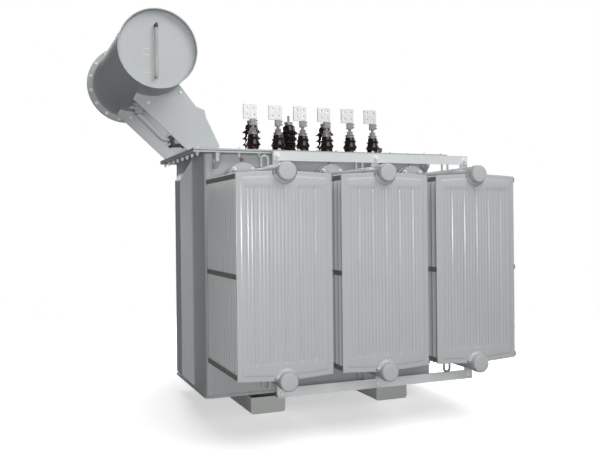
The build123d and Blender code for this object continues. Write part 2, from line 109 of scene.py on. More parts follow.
class TransformerSizes(bpy.types.PropertyGroup):
    """Sizes of the modelled detail."""

    panel_slope: length("Panel slope", "Rise of a panel's top and bottom edge towards its header", 0.012)
    panel_lip: length("Panel lip", "Width of the flat seam round a pressed panel", 0.020)
    field_depth: length("Field depth", "Height of the pressed field above the seam", 0.0030)
    flute_pitch: length("Flute pitch", "Spacing of the deep flutes", 0.081)
    flute_half: length("Flute half width", "Half the width of a deep flute's floor", 0.003)
    flute_slope: length("Flute slope", "Width of the slope beside a flute's floor", 0.006)
    flute_depth: length("Flute depth", "Depth of a deep flute below the field", 0.0042)
    bead_half: length("Shallow half width", "Half the width of a shallow flute's floor", 0.0015)
    bead_depth: length("Shallow depth", "Depth of the shallow flutes between the deep ones", 0.0019)
    flute_margin: length("Flute margin", "Distance from a panel's edge to the end of a flute", 0.092)
    fin_pitch: length("Fin pitch", "Spacing of the panels in a radiator", 0.0455)
    fin_count: count("Fins", "Panels in a radiator", 13, 2)
    upper_header: length("Upper header", "Height of the upper headers' axis", 1.412)
    lower_header: length("Lower header", "Height of the lower headers' axis", 0.348)
    header_radius: length("Header radius", "Outer radius of the header pipes", 0.0445)
    cap_radius: length("Cap radius", "Radius of the headers' end caps", 0.049)
    flange_radius: length("Flange radius", "Radius of the valve flanges", 0.1)
    flange_thickness: length("Flange thickness", "Thickness of a valve flange", 0.018)
    flange_bolt_circle: length("Flange bolt circle", "Radius of the valve flanges' bolt circle", 0.08)
    bolt_across: length("Bolt head", "Width across the flats of a large bolt", 0.020)
    small_bolt_across: length("Small bolt head", "Width across the flats of a small bolt", 0.016)
    cover_bolt_inset: length("Cover bolt inset", "Distance from the cover's edge to its bolts", 0.03)
    cover_bolts_long: count("Bolts along", "Bolts along the cover", 14, 2)
    cover_bolts_short: count("Bolts across", "Bolts across the cover", 8, 2)
    drum_bolts: count("Drum bolts", "Bolts in the drum's end flange", 16, 3)
    drum_bolt_circle: length("Drum bolt circle", "Radius of the drum's bolt circle", 0.246)
    weld_radius: length("Weld bead", "Radius of the weld beads on the tank", 0.005)


class TransformerColours(bpy.types.PropertyGroup):
    """Colours of the finishes."""

    tank_paint: colour("Tank paint", "Grey of the tank and the drum", (0.455, 0.478, 0.488))
    radiator_paint: colour("Radiator paint", "Grey of the radiators", (0.428, 0.445, 0.450))
    # The skids' grey is set lighter than the tank's grey: painted light on the skids.
    base_paint: colour("Base paint", "Grey of the skids", (0.55, 0.57, 0.55))
    # The straps' grey is darkened to stand for the shade they lie in: painted shade.
    shaded_strap_paint: colour("Strap paint", "Dark grey of the straps on the radiators", (0.20, 0.205, 0.195))
    # The tie bars' grey is set paler than the tank's grey: painted light on the tie bars.
    lit_tie_bar_paint: colour("Tie bar paint", "Pale grey of the tie bars", (0.58, 0.60, 0.61))
    zinc: colour("Zinc", "Plating of bolts and nuts", (0.90, 0.90, 0.895))
    terminal_metal: colour("Terminals", "Tinned terminals", (0.86, 0.845, 0.84))
    # The stems' metal is darkened in place of the dark surroundings it reflects: painted shade and painted
    # dark reflection on stems, nuts, clamp bolts and the palms' edges and bores.
    shaded_stem_metal: colour("Stems", "Duller metal of the terminals' stems, edges and bores", (0.34, 0.33, 0.325))
    brown_porcelain: colour("Porcelain", "Brown glaze of the insulators", (0.010, 0.003, 0.004))
    brass: colour("Brass", "Spindles and small fittings", (0.42, 0.26, 0.12))
    dark_casting: colour("Dark casting", "Relay and gauge fittings", (0.07, 0.075, 0.075))
    relay_paint: colour("Relay paint", "Dark green of the gas relay", (0.030, 0.052, 0.050))
    valve_metal: colour("Valve", "Valve bodies", (0.36, 0.37, 0.37))
    level_mark: colour("Level marks", "Pale marks beside the oil gauge", (0.57, 0.585, 0.585))
    oil: colour("Gauge glass", "Oil behind the gauge glass", (0.60, 0.59, 0.53))


class TransformerStage(bpy.types.PropertyGroup):
    """Light and camera."""

    overhead_power: power("Overhead", "Power of the overhead lamp", 245)
    front_power: power("Front", "Power of the lamp in front", 300)
    camera_power: power("By the camera", "Power of the small lamp by the camera", 44)
    right_power: power("Right", "Power of the lamp on the right", 110)
    left_power: power("Left", "Power of the lamp on the left", 28)
    rear_power: power("Rear", "Power of the lamp behind", 400)
    daylight: FloatProperty(
        name="Daylight", description="Strength of the even light all round", default=0.04, min=0
    )
    floor: colour("Floor", "Colour of the floor", (0.86, 0.86, 0.86))
    camera_place: FloatVectorProperty(
        name="Camera",
        description="Place of the camera",
        default=(-1.904, -4.7395, 1.149),
        unit="LENGTH",
        subtype="TRANSLATION",
    )
    camera_yaw: angle("Yaw", "Turn of the camera from +Y towards +X", 21.83)
    camera_pitch: angle("Pitch", "Tilt of the camera upwards", -0.17)
    camera_roll: angle("Roll", "Roll of the camera", -0.61)
    focal_length: FloatProperty(
        name="Lens", description="Focal length in millimetres", default=44.52, min=1
    )


class Term:
    """A socket of a finish's nodes that can be used in sums."""

    def __init__(self, finish, socket):
        self.finish = finish
        self.socket = socket

    def math(self, operation, first, second):
        return self.finish.node("ShaderNodeMath", {"operation": operation}, {0: first, 1: second})

    def __add__(self, other):
        return self.math("ADD", self, other)

    def __radd__(self, other):
        return self.math("ADD", other, self)

    def __sub__(self, other):
        return self.math("SUBTRACT", self, other)

    def __rsub__(self, other):
        return self.math("SUBTRACT", other, self)

    def __mul__(self, other):
        return self.math("MULTIPLY", self, other)

    def __rmul__(self, other):
        return self.math("MULTIPLY", other, self)

    def __gt__(self, other):
        return self.math("GREATER_THAN", self, other)

    def __lt__(self, other):
        return self.math("LESS_THAN", self, other)


class Nodes:
    """A node tree that is filled node by node."""

    def __init__(self, tree):
        self.tree = tree
        tree.nodes.clear()

    def node(self, kind, settings=None, inputs=None, output=0):
        """Add a node, give it its settings, fill its sockets and return one of its outputs."""
        node = self.tree.nodes.new(kind)
        for key, value in (settings or {}).items():
            if key == "stops":
                ramp = node.color_ramp
                while len(ramp.elements) < len(value):
                    ramp.elements.new(0.5)
                for element, (position, tone) in zip(ramp.elements, value):
                    element.position = position
                    element.color = tone
            else:
                setattr(node, key, value)
        for key, value in (inputs or {}).items():
            self.fill(node.inputs[key], value)
        return Term(self, node.outputs[output])

    def fill(self, socket, value):
        """Link a term to a socket, or set the socket's own value."""
        if isinstance(value, Term):
            self.tree.links.new(value.socket, socket)
        else:
            socket.default_value = value


class Finish(Nodes):
    """A material that is built up from nodes round one Principled shader."""

    def __init__(self, name):
        self.material = bpy.data.materials.new(name)
        self.material.use_nodes = True
        super().__init__(self.material.node_tree)
        self.shader = self.tree.nodes.new("ShaderNodeBsdfPrincipled")
        output = self.tree.nodes.new("ShaderNodeOutputMaterial")
        self.tree.links.new(self.shader.outputs["BSDF"], output.inputs["Surface"])
        self.place = self.node("ShaderNodeTexCoord", output="Object")

    def set(self, **values):
        """Fill sockets of the shader, with underscores for spaces in their names."""
        for key, value in values.items():
            self.fill(self.shader.inputs[key.replace("_", " ")], value)
        return self

    def stretched(self, scale):
        """Object coordinates with their own scale along each axis."""
        return self.node("ShaderNodeMapping", {}, {"Vector": self.place, "Scale": scale}, "Vector")

    def along(self, axis, vector=None):
        """One of the object coordinates, or of another vector's."""
        return self.node("ShaderNodeSeparateXYZ", {}, {0: vector or self.place}, axis)

    def normal(self):
        """The direction that the surface faces."""
        return self.node("ShaderNodeNewGeometry", output="Normal")

    def noise(self, scale, detail=3.0, rough=0.55, vector=None):
        """Even noise from 0 to 1."""
        settings = {"Vector": vector or self.place, "Scale": scale, "Detail": detail, "Roughness": rough}
        return self.node("ShaderNodeTexNoise", {}, settings, "Fac")

    def ramp(self, value, low, high):
        """0 below the low value, 1 above the high value."""
        stops = [(0, (0, 0, 0, 1)), (1, (1, 1, 1, 1))]
        span = {"Value": value, "From Min": low, "From Max": high}
        share = self.node("ShaderNodeMapRange", {"clamp": True}, span, "Result")
        return self.node("ShaderNodeValToRGB", {"stops": stops}, {"Fac": share}, "Color")

    def blend(self, share, first, second):
        """A colour between two others."""
        settings = {"data_type": "RGBA", "clamp_factor": True}
        return self.node("ShaderNodeMix", settings, {0: share, 6: first, 7: second}, 2)

    def relief(self, height, strength, distance):
        """A bump from a height."""
        return self.node(
            "ShaderNodeBump", {}, {"Height": height, "Strength": strength, "Distance": distance}, "Normal"
        )


def opaque(tone, factor=1.0):
    """A colour with its alpha, lighter or darker by a factor."""
    return (tone[0] * factor, tone[1] * factor, tone[2] * factor, 1.0)


def painted(name, tone, peel=0.18, rough=0.36, seam_height=None):
    """Sprayed grey paint: broad tone, faint runs, dust on what faces up, orange peel.

    With a seam height, a dark line runs round at that height, where two plates meet.
    """
    seam_half = 0.002
    peel_height = 0.0006
    finish = Finish(name)
    broad = finish.noise(1.7, 4.0)
    runs = finish.noise(1.0, 3.0, 0.6, finish.stretched((26.0, 26.0, 1.4)))
    grime = finish.ramp(finish.noise(5.5, 6.0, 0.65), 0.56, 0.78)
    shade = finish.blend(broad, opaque(tone, 0.93), opaque(tone, 1.06))
    shade = finish.blend(0.16 * runs, shade, opaque(tone, 0.78))
    shade = finish.blend(0.14 * grime, shade, (tone[0] * 0.72, tone[1] * 0.70, tone[2] * 0.66, 1))
    upward = finish.along("Z", finish.normal())
    dust = finish.ramp(upward, 0.65, 0.98) * (0.12 + 0.3 * finish.noise(9.0, 5.0))
    shade = finish.blend(dust, shade, (0.50, 0.49, 0.46, 1))
    if seam_height:
        height = finish.along("Z")
        seam = (height > seam_height - seam_half) * (height < seam_height + seam_half)
        shade = finish.blend(0.85 * seam, shade, (0.03, 0.03, 0.03, 1))
    grain = finish.noise(240.0, 2.0)
    bump = finish.relief(grain, peel, peel_height)
    dulled = rough + 0.10 * broad + 0.25 * dust
    return finish.set(Base_Color=shade, Roughness=dulled, Normal=bump, Specular_IOR_Level=0.3)


def plated(name, tone, rough=0.30, dull=0.3, shine=1.0, shade_tone=None, palm_foot=0.0):
    """Plated or bare metal with fine scratches and dull patches; a lower shine is a chalkier plating.

    With a darker tone given, only faces across Y above the palm's foot keep the tone itself; edges, bores
    and all below the foot take the darker tone as painted shade.
    """
    finish = Finish(name)
    patch = finish.noise(38.0, 4.0)
    scratch = finish.noise(1.0, 3.0, 0.7, finish.stretched((60.0, 60.0, 900.0)))
    shade = finish.blend(patch, opaque(tone, 0.84), opaque(tone))
    # Painted shade: the palms' edges and bores and the stems below the palm's foot take the darker tone.
    if shade_tone:
        across = finish.along("Y", finish.normal())
        height = finish.along("Z")
        face = finish.ramp(across * across, 0.5, 0.9) * (height > palm_foot)
        shade = finish.blend(face, opaque(shade_tone), shade)
    bump = finish.relief(scratch, 0.12, 0.0004)
    dulled = rough + dull * 0.4 * patch + 0.06 * scratch
    metal = shine - dull * 0.35 * patch
    return finish.set(Base_Color=shade, Roughness=dulled, Normal=bump, Metallic=metal)


def glazed(name, tone):
    """Brown glazed porcelain: darker where the glaze is thick, with fine mottling."""
    finish = Finish(name)
    pool = finish.noise(14.0, 3.0)
    speck = finish.noise(420.0, 2.0)
    shade = finish.blend(pool, opaque(tone, 0.55), opaque(tone, 1.5))
    shade = finish.blend(0.3 * finish.ramp(speck, 0.62, 0.75), shade, opaque(tone, 3.0))
    bump = finish.relief(pool, 0.05, 0.001)
    finish.set(Base_Color=shade, Roughness=0.10 + 0.12 * pool, Normal=bump)
    return finish.set(Coat_Weight=0.25, Coat_Roughness=0.05, Specular_IOR_Level=0.25)


def cast(name, tone, rough=0.55):
    """Rough casting under a thin coat of paint."""
    finish = Finish(name)
    grain = finish.noise(320.0, 3.0)
    patch = finish.noise(21.0, 4.0)
    shade = finish.blend(patch, opaque(tone, 0.8), opaque(tone, 1.25))
    bump = finish.relief(grain, 0.35, 0.0008)
    return finish.set(Base_Color=shade, Roughness=rough + 0.15 * patch, Normal=bump)


def clear_glass(name, tone):
    """Gauge glass with oil behind it, up to the oil's level."""
    oil_ends, air_starts = 2.094, 2.100
    finish = Finish(name)
    level = finish.ramp(finish.along("Z") + 0.004 * finish.noise(60.0), oil_ends, air_starts)
    shade = finish.blend(level, opaque(tone), (0.52, 0.54, 0.54, 1))
    finish.set(Base_Color=shade, Roughness=0.06 + 0.05 * finish.noise(90.0))
    return finish.set(Transmission_Weight=0.35, IOR=1.47)


def finish_named(name):
    """A finish that was made before."""
    return bpy.data.materials[name]


def leave_edit():
    """Back to object mode."""
    if bpy.context.mode != "OBJECT":
        bpy.ops.object.mode_set(mode="OBJECT")


def take(piece):
    """Select one piece alone and make it the active one."""
    leave_edit()
    bpy.ops.object.select_all(action="DESELECT")
    piece.select_set(True)
    bpy.context.view_layer.objects.active = piece


def open_mesh(piece):
    """Open one piece in edit mode with all of its mesh selected."""
    take(piece)
    bpy.ops.object.mode_set(mode="EDIT")
    bpy.ops.mesh.select_all(action="SELECT")


def face_out():
    """Turn all faces of the open mesh outwards."""
    bpy.ops.mesh.select_all(action="SELECT")
    bpy.ops.mesh.normals_make_consistent(inside=False)


def pick(kind, test):
    """Select what passes a test in the open mesh: VERT, EDGE or FACE."""
    bpy.ops.mesh.select_mode(type=kind)
    bpy.ops.mesh.select_all(action="DESELECT")
    mesh = bpy.context.object.data
    shape = bmesh.from_edit_mesh(mesh)
    for element in {"VERT": shape.verts, "EDGE": shape.edges, "FACE": shape.faces}[kind]:
        if test(element):
            element.select_set(True)
    shape.select_flush_mode()
    bmesh.update_edit_mesh(mesh)


def pick_rim():
    """Select the open edges of the open mesh."""
    bpy.ops.mesh.select_mode(type="EDGE")
    bpy.ops.mesh.select_all(action="DESELECT")
    bpy.ops.mesh.select_non_manifold(
        extend=False, use_wire=False, use_multi_face=False, use_non_contiguous=False
    )


def lies_at(edge, axis, place, reach=hair):
    """Whether both ends of an edge lie within reach of a place along an axis."""
    return all(abs(end.co[axis] - place) < reach for end in edge.verts)


def started(add, name, stretch=(1, 1, 1), **settings):
    """A new primitive at its size and place, with nothing else selected."""
    leave_edit()
    bpy.ops.object.select_all(action="DESELECT")
    add(**settings)
    piece = bpy.context.object
    piece.name = name
    piece.scale = stretch
    bpy.ops.object.transform_apply(location=True, rotation=True, scale=True)
    return piece


def turned(name, profile, segments=40):
    """A turned piece on the Z axis: a disc pushed up ring by ring through (radius, height) pairs."""
    radius, height = profile[0]
    piece = started(
        bpy.ops.mesh.primitive_circle_add,
        name,
        vertices=segments,
        radius=radius,
        fill_type="NGON",
        location=(0, 0, height),
    )
    open_mesh(piece)
    for next_radius, next_height in profile[1:]:
        bpy.ops.mesh.extrude_region_move(TRANSFORM_OT_translate={"value": (0, 0, next_height - height)})
        ratio = next_radius / radius
        bpy.ops.transform.resize(value=(ratio, ratio, 1), center_override=(0, 0, next_height))
        radius, height = next_radius, next_height
    face_out()
    leave_edit()
    return piece


def block(name, low, high, bevel=0.0):
    """A bevelled block between two corners."""
    low, high = Vector(low), Vector(high)
    piece = started(
        bpy.ops.mesh.primitive_cube_add, name, high - low, size=1, location=(low + high) / 2
    )
    if bevel:
        open_mesh(piece)
        bpy.ops.mesh.bevel(offset=bevel, segments=2, affect="EDGES")
        leave_edit()
    return piece


def seat(piece, place, facing="+Z"):
    """Turn a piece that was modelled upright, move it to its place and apply both."""
    piece.rotation_euler = facings[facing]
    piece.location = place
    take(piece)
    bpy.ops.object.transform_apply(location=True, rotation=True, scale=True)
    return piece


def repeat(piece, places):
    """Copy a piece that sits at the first place to all the others, in one mesh."""
    open_mesh(piece)
    here = Vector(places[0])
    for place in places[1:]:
        bpy.ops.mesh.duplicate()
        bpy.ops.transform.translate(value=Vector(place) - here)
        here = Vector(place)
    leave_edit()
    return piece


def joined(name, pieces):
    """Several pieces as one."""
    take(pieces[0])
    for piece in pieces[1:]:
        piece.select_set(True)
    bpy.ops.object.join()
    pieces[0].name = name
    return pieces[0]


def copied(piece, name, shift, mirror=False):
    """A copy with its own mesh, shifted along the row or mirrored to the other row."""
    take(piece)
    bpy.ops.object.duplicate(linked=False)
    copy = bpy.context.object
    copy.name = name
    open_mesh(copy)
    if mirror:
        bpy.ops.transform.mirror(constraint_axis=(False, True, False), center_override=(0, 0, 0))
        face_out()
    bpy.ops.transform.translate(value=shift)
    leave_edit()
    return copy


def subdivided(piece, levels):
    """Apply a subdivision surface."""
    take(piece)
    smoother = piece.modifiers.new("Smooth", "SUBSURF")
    smoother.levels = levels
    smoother.render_levels = levels
    smoother.boundary_smooth = "PRESERVE_CORNERS"
    bpy.ops.object.modifier_apply(modifier=smoother.name)
    return piece


def done(piece, finish, slot, *nodes):
    """Smooth a finished piece, paint it, fix it to the transformer and hide the solids it stands for."""
    take(piece)
    bpy.ops.object.shade_smooth_by_angle(angle=smooth_angle)
    piece.data.materials.clear()
    piece.data.materials.append(finish_named(finish))
    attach(piece, "root")
    if nodes:
        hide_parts(*nodes)
    return piece


def hex_bolt(name, across, stub=0.0):
    """A hexagon head, or a nut with the end of its bolt, on a washer."""
    radius = across / math.sqrt(3)
    height = across * 0.62
    washer = across * 0.14
    rim = across * 0.74
    top = washer + height
    plate = turned(name + "_washer", [(rim, 0), (rim, washer * 0.8), (across * 0.70, washer)], 16)
    head = [(radius, washer), (radius, washer + height * 0.82), (radius * 0.84, top)]
    parts = [turned(name, head, 6), plate]
    if stub:
        thread = across * 0.32
        tip = top + stub
        end = [(thread, top), (thread, tip * 0.97), (thread * 0.8, tip)]
        parts.append(turned(name + "_end", end, 10))
    return joined(name, parts)


def bolts(name, across, places, facing, stub=0.0):
    """Like bolts at many places, all facing the same way."""
    piece = seat(hex_bolt(name, across, stub), places[0], facing)
    return repeat(piece, places)


def fixings(name, *parts):
    """Bolts and nuts as one plated piece."""
    return done(joined(name, parts), "zinc_plate", "valve_metal")


def diagonals(circle):
    """The four spots on the diagonals of a bolt circle, each as two distances from its middle."""
    ring = circle / math.sqrt(2)
    return [(right, up) for right in (-ring, ring) for up in (-ring, ring)]


def bead(name, start, end, radius):
    """A straight weld bead between two points along one axis."""
    start, end = Vector(start), Vector(end)
    run = end - start
    axis = max(range(3), key=lambda i: abs(run[i]))
    facing = ("-" if run[axis] < 0 else "+") + "XYZ"[axis]
    reach = run.length
    waves = max(3, int(reach / 0.05))
    end_radius = radius * 0.6
    profile = [(end_radius, 0)]
    for k in range(1, waves):
        profile.append((radius * (1.0 + 0.12 * math.sin(k * 2.4)), reach * k / waves))
    profile.append((end_radius, reach))
    return seat(turned(name, profile, 8), start, facing)


def radiator_middles(row):
    """Where the radiators of a row have their middles along X."""
    boxes = [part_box(f"{row}_{name}_radiator_fins") for name in radiator_names[row]]
    return [(low.x + high.x) / 2 for low, high in boxes]


def to_radiators(pack, kind, finish, solids, stands_in=True):
    """Copy what was modelled for one radiator to all of them, and remove what was copied."""
    for row, side in rows.items():
        for name in radiator_names[row]:
            node = f"{row}_{name}_{solids}"
            low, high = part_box(node)
            copy = copied(pack, f"{row}_{name}_{kind}", ((low.x + high.x) / 2, 0, 0), side > 0)
            done(copy, finish, "radiator_paint", *([node] if stands_in else []))
    bpy.data.objects.remove(pack)


def bushings(node, number):
    """Largest radius, height and feet of the bushings that stand in a row along X."""
    low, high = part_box(node)
    radius = (high.y - low.y) / 2
    pitch = (high.x - low.x - 2 * radius) / (number - 1)
    feet = [(low.x + radius + pitch * k, (low.y + high.y) / 2, low.z) for k in range(number)]
    return radius, high.z - low.z, feet


def panel_sheet(name, half, low, high, reach, rise):
    """A flat sheet facing -Y whose top and bottom edges slope up and down to the header."""
    piece = started(
        bpy.ops.mesh.primitive_plane_add,
        name,
        (2 * half, high - low, 1),
        size=1,
        location=(0, 0, (low + high) / 2),
        rotation=(quarter_turn, 0, 0),
    )
    open_mesh(piece)
    for hand in (-1, 1):
        for sense, edge in ((1, high), (-1, low)):
            bpy.ops.mesh.select_all(action="SELECT")
            bpy.ops.mesh.bisect(
                plane_co=(hand * half, 0, edge - sense * rise),
                plane_no=(hand * rise, 0, sense * (half - reach)),
                clear_outer=True,
            )
    bpy.ops.mesh.select_mode(type="FACE")
    bpy.ops.mesh.select_all(action="SELECT")
    return piece


def cut(axis, at):
    """Cut the whole open mesh by a plane across an axis."""
    bpy.ops.mesh.select_all(action="SELECT")
    point, normal = [0, 0, 0], [0, 0, 0]
    point[axis], normal[axis] = at, 1
    bpy.ops.mesh.bisect(plane_co=point, plane_no=normal)


def creased(kind, value, test):
    """Crease the edges or vertices of the open mesh that pass a test."""
    pick(kind, test)
    if kind == "EDGE":
        bpy.ops.transform.edge_crease(value=value)
    else:
        bpy.ops.transform.vert_crease(value=value)


def pressed_panel(sizes, half, low, high):
    """The outermost panel of a radiator: flat seam, swelling field and flutes, closed at its back."""
    piece = panel_sheet("pressed_panel", half, low, high, sizes.header_radius, sizes.panel_slope)
    insets = [
        (0.0012, 0.0),
        (0.0015, 0.0010),
        (sizes.panel_lip, 0.0004),
        (0.0015, 0.0),
        (0.0055, sizes.field_depth * 0.7),
        (0.0060, sizes.field_depth * 0.3),
    ]
    for thickness, depth in insets:
        bpy.ops.mesh.inset(thickness=thickness, depth=depth, use_even_offset=True)
    margin = sum(thickness for thickness, depth in insets)
    press_flutes(sizes, half, low, high, margin)
    leave_edit()
    subdivided(piece, 2)
    open_mesh(piece)
    pick_rim()
    bpy.ops.mesh.extrude_edges_move(TRANSFORM_OT_translate={"value": (0, panel_seam, 0)})
    bpy.ops.mesh.edge_face_add()
    bpy.ops.mesh.select_mode(type="FACE")
    bpy.ops.mesh.inset(thickness=0.016)
    face_out()
    bpy.ops.transform.translate(value=(0, -panel_seam / 2, 0))
    leave_edit()
    return piece


def press_flutes(sizes, half, low, high, margin):
    """Press the deep and shallow flutes into the open sheet, and swell its field above them."""
    slope = sizes.flute_slope
    pitch = sizes.flute_pitch
    deep = [(pitch * k, sizes.flute_half, sizes.flute_depth) for k in range(-2, 3)]
    shallow = [(pitch * k / 4, sizes.bead_half, sizes.bead_depth) for k in range(-10, 11) if k % 4]
    flutes = deep + shallow
    for x, floor, depth in flutes:
        for across in (-floor - slope, -floor, floor, floor + slope):
            cut(0, x + across)
    flute_low, flute_high = low + sizes.flute_margin, high - sizes.flute_margin
    top_field = high - sizes.panel_slope - margin
    bottom_field = low + sizes.panel_slope + margin
    top_ridge, bottom_ridge = (top_field + flute_high) / 2, (bottom_field + flute_low) / 2
    run_out = 0.012
    levels = [flute_low - slope, flute_low, flute_low + run_out]
    levels += [flute_high - run_out, flute_high, flute_high + slope, top_ridge, bottom_ridge]
    for z in levels:
        cut(2, z)
    for x, floor, depth in flutes:
        pick("FACE", lambda f: abs(f.calc_center_median().x - x) < floor
             and flute_low < f.calc_center_median().z < flute_high)
        bpy.ops.transform.translate(value=(0, depth, 0))
    creased("EDGE", 1.0, lambda e: e.is_boundary)
    creased("VERT", 1.0, lambda v: v.is_boundary and abs(v.co.x) > half - hair)
    walls = [x + side * floor for x, floor, depth in flutes for side in (-1, 1)]
    walls += [x + side * (floor + slope) for x, floor, depth in flutes for side in (-1, 1)]
    near = 0.001
    creased("EDGE", 0.4, lambda e: any(lies_at(e, 0, wall) for wall in walls)
            and all(flute_low - near < v.co.z < flute_high + near for v in e.verts))
    lower_ends = (flute_low - slope, flute_low)
    creased("EDGE", 0.8, lambda e: any(lies_at(e, 2, end) for end in lower_ends)
            and any(lies_at(e, 0, x, floor + hair) for x, floor, depth in flutes))
    top_swell, swell_from, swell_to, boss = 0.0035, 0.06, 0.215, 0.068
    fields = ((top_ridge, top_swell, sizes.upper_header), (bottom_ridge, 0.0, sizes.lower_header))
    for ridge, swell, header in fields:
        pick("VERT", lambda v: abs(v.co.z - ridge) < near and swell_from < abs(v.co.x) < swell_to)
        bpy.ops.transform.translate(value=(0, -swell, 0))
        pick("VERT", lambda v: math.hypot(v.co.x, v.co.z - header) < boss)
        bpy.ops.transform.resize(value=(1, 0.1, 1), center_override=(0, 0, header))


def plain_panel(sizes, half, low, high):
    """A panel behind the first: a thin seam round a field that swells on both sides."""
    piece = panel_sheet("plain_panel", half, low, high, sizes.header_radius, sizes.panel_slope)
    bpy.ops.mesh.extrude_region_move(TRANSFORM_OT_translate={"value": (0, panel_seam, 0)})
    bpy.ops.mesh.select_all(action="SELECT")
    bpy.ops.transform.translate(value=(0, -panel_seam / 2, 0))
    face_out()
    pick("FACE", lambda f: abs(f.normal.y) > 0.9)
    bpy.ops.mesh.inset(thickness=0.014)
    bpy.ops.mesh.inset(thickness=0.012, depth=0.0022)
    leave_edit()
    return piece


class TRANSFORMER_OT_finishes(bpy.types.Operator):
    """Make the finishes and give one to every solid"""

    bl_idname = "transformer.finishes"
    bl_label = "Finishes"

    def execute(self, context):
        tones = context.scene.transformer_colours
        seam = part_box("tank_cover")[0].z
        painted("tank_enamel", tones.tank_paint)
        painted("rim_enamel", tones.tank_paint, seam_height=seam)
        painted("radiator_enamel", tones.radiator_paint, peel=0.10, rough=0.15)
        painted("header_enamel", tones.radiator_paint, peel=0.15, rough=0.40)
        # Skid enamel from the lightened grey: painted light.
        painted("lit_skid_enamel", tones.base_paint, peel=0.25, rough=0.45)
        # Strap enamel from the darkened grey: painted shade.
        painted("shaded_strap_enamel", tones.shaded_strap_paint, peel=0.25, rough=0.45)
        # Tie bar enamel from the paler grey: painted light.
        painted("lit_tie_bar_enamel", tones.lit_tie_bar_paint, peel=0.15, rough=0.34)
        plated("zinc_plate", tones.zinc, shine=0.32)
        palm_height = 0.092
        palm_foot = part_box("lv_terminals")[1].z - palm_height
        tinned = {"rough": 0.34, "dull": 0.6, "shine": 0.8}
        # Darker stem metal: painted shade and painted dark reflection.
        stem = tones.shaded_stem_metal
        plated("shaded_stem_metal", stem, **tinned)
        # Tinned palms keep their tone on their faces; their edges, bores and stems get painted shade.
        plated("tinned_metal", tones.terminal_metal, **tinned, shade_tone=stem, palm_foot=palm_foot)
        plated("brass", tones.brass, rough=0.32, dull=0.5)
        glazed("porcelain_glaze", tones.brown_porcelain)
        cast("dark_iron", tones.dark_casting)
        cast("relay_paint", tones.relay_paint, rough=0.35)
        cast("valve_iron", tones.valve_metal, rough=0.45)
        cast("level_mark", tones.level_mark, rough=0.6)
        clear_glass("sight_glass", tones.oil)
        wears = {
            "rim_enamel": ("tank_rim", "tank_cover"),
            "lit_tie_bar_enamel": ("tie_bar",),
            "shaded_strap_enamel": ("strap",),
            "header_enamel": ("radiator_headers", "tank_stubs"),
            "radiator_enamel": ("radiator_fins",),
            "lit_skid_enamel": ("skid",),
            "valve_iron": ("valves",),
            "dark_iron": ("gas_relay", "gauge_fittings", "tap_changer"),
            "sight_glass": ("gauge_glass",),
            "porcelain_glaze": ("insulators",),
            "tinned_metal": ("lv_terminals",),
            "shaded_stem_metal": ("hv_terminals",),
            "brass": ("thermometer",),
        }
        for name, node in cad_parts.items():
            chosen = [finish for finish, words in wears.items() if any(word in name for word in words)]
            for place in node.material_slots:
                place.material = finish_named(chosen[0] if chosen else "tank_enamel")
        return {"FINISHED"}


class TRANSFORMER_OT_radiator_panels(bpy.types.Operator):
    """Press the panels of one radiator and copy them to all five"""

    bl_idname = "transformer.radiator_panels"
    bl_label = "Radiator panels"

    def execute(self, context):
        sizes = context.scene.transformer_sizes
        low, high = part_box("front_middle_radiator_fins")
        half = (high.x - low.x) / 2
        front = pressed_panel(sizes, half, low.z, high.z)
        plain = plain_panel(sizes, half, low.z, high.z)
        places = [(0, sizes.fin_pitch * k, 0) for k in range(1, sizes.fin_count)]
        repeat(seat(plain, places[0]), places)
        pack = joined("radiator_panels", [front, plain])
        stand_out = 0.0055
        seat(pack, (0, low.y + stand_out, 0))
        to_radiators(pack, "panels", "radiator_enamel", "radiator_fins")
        return {"FINISHED"}


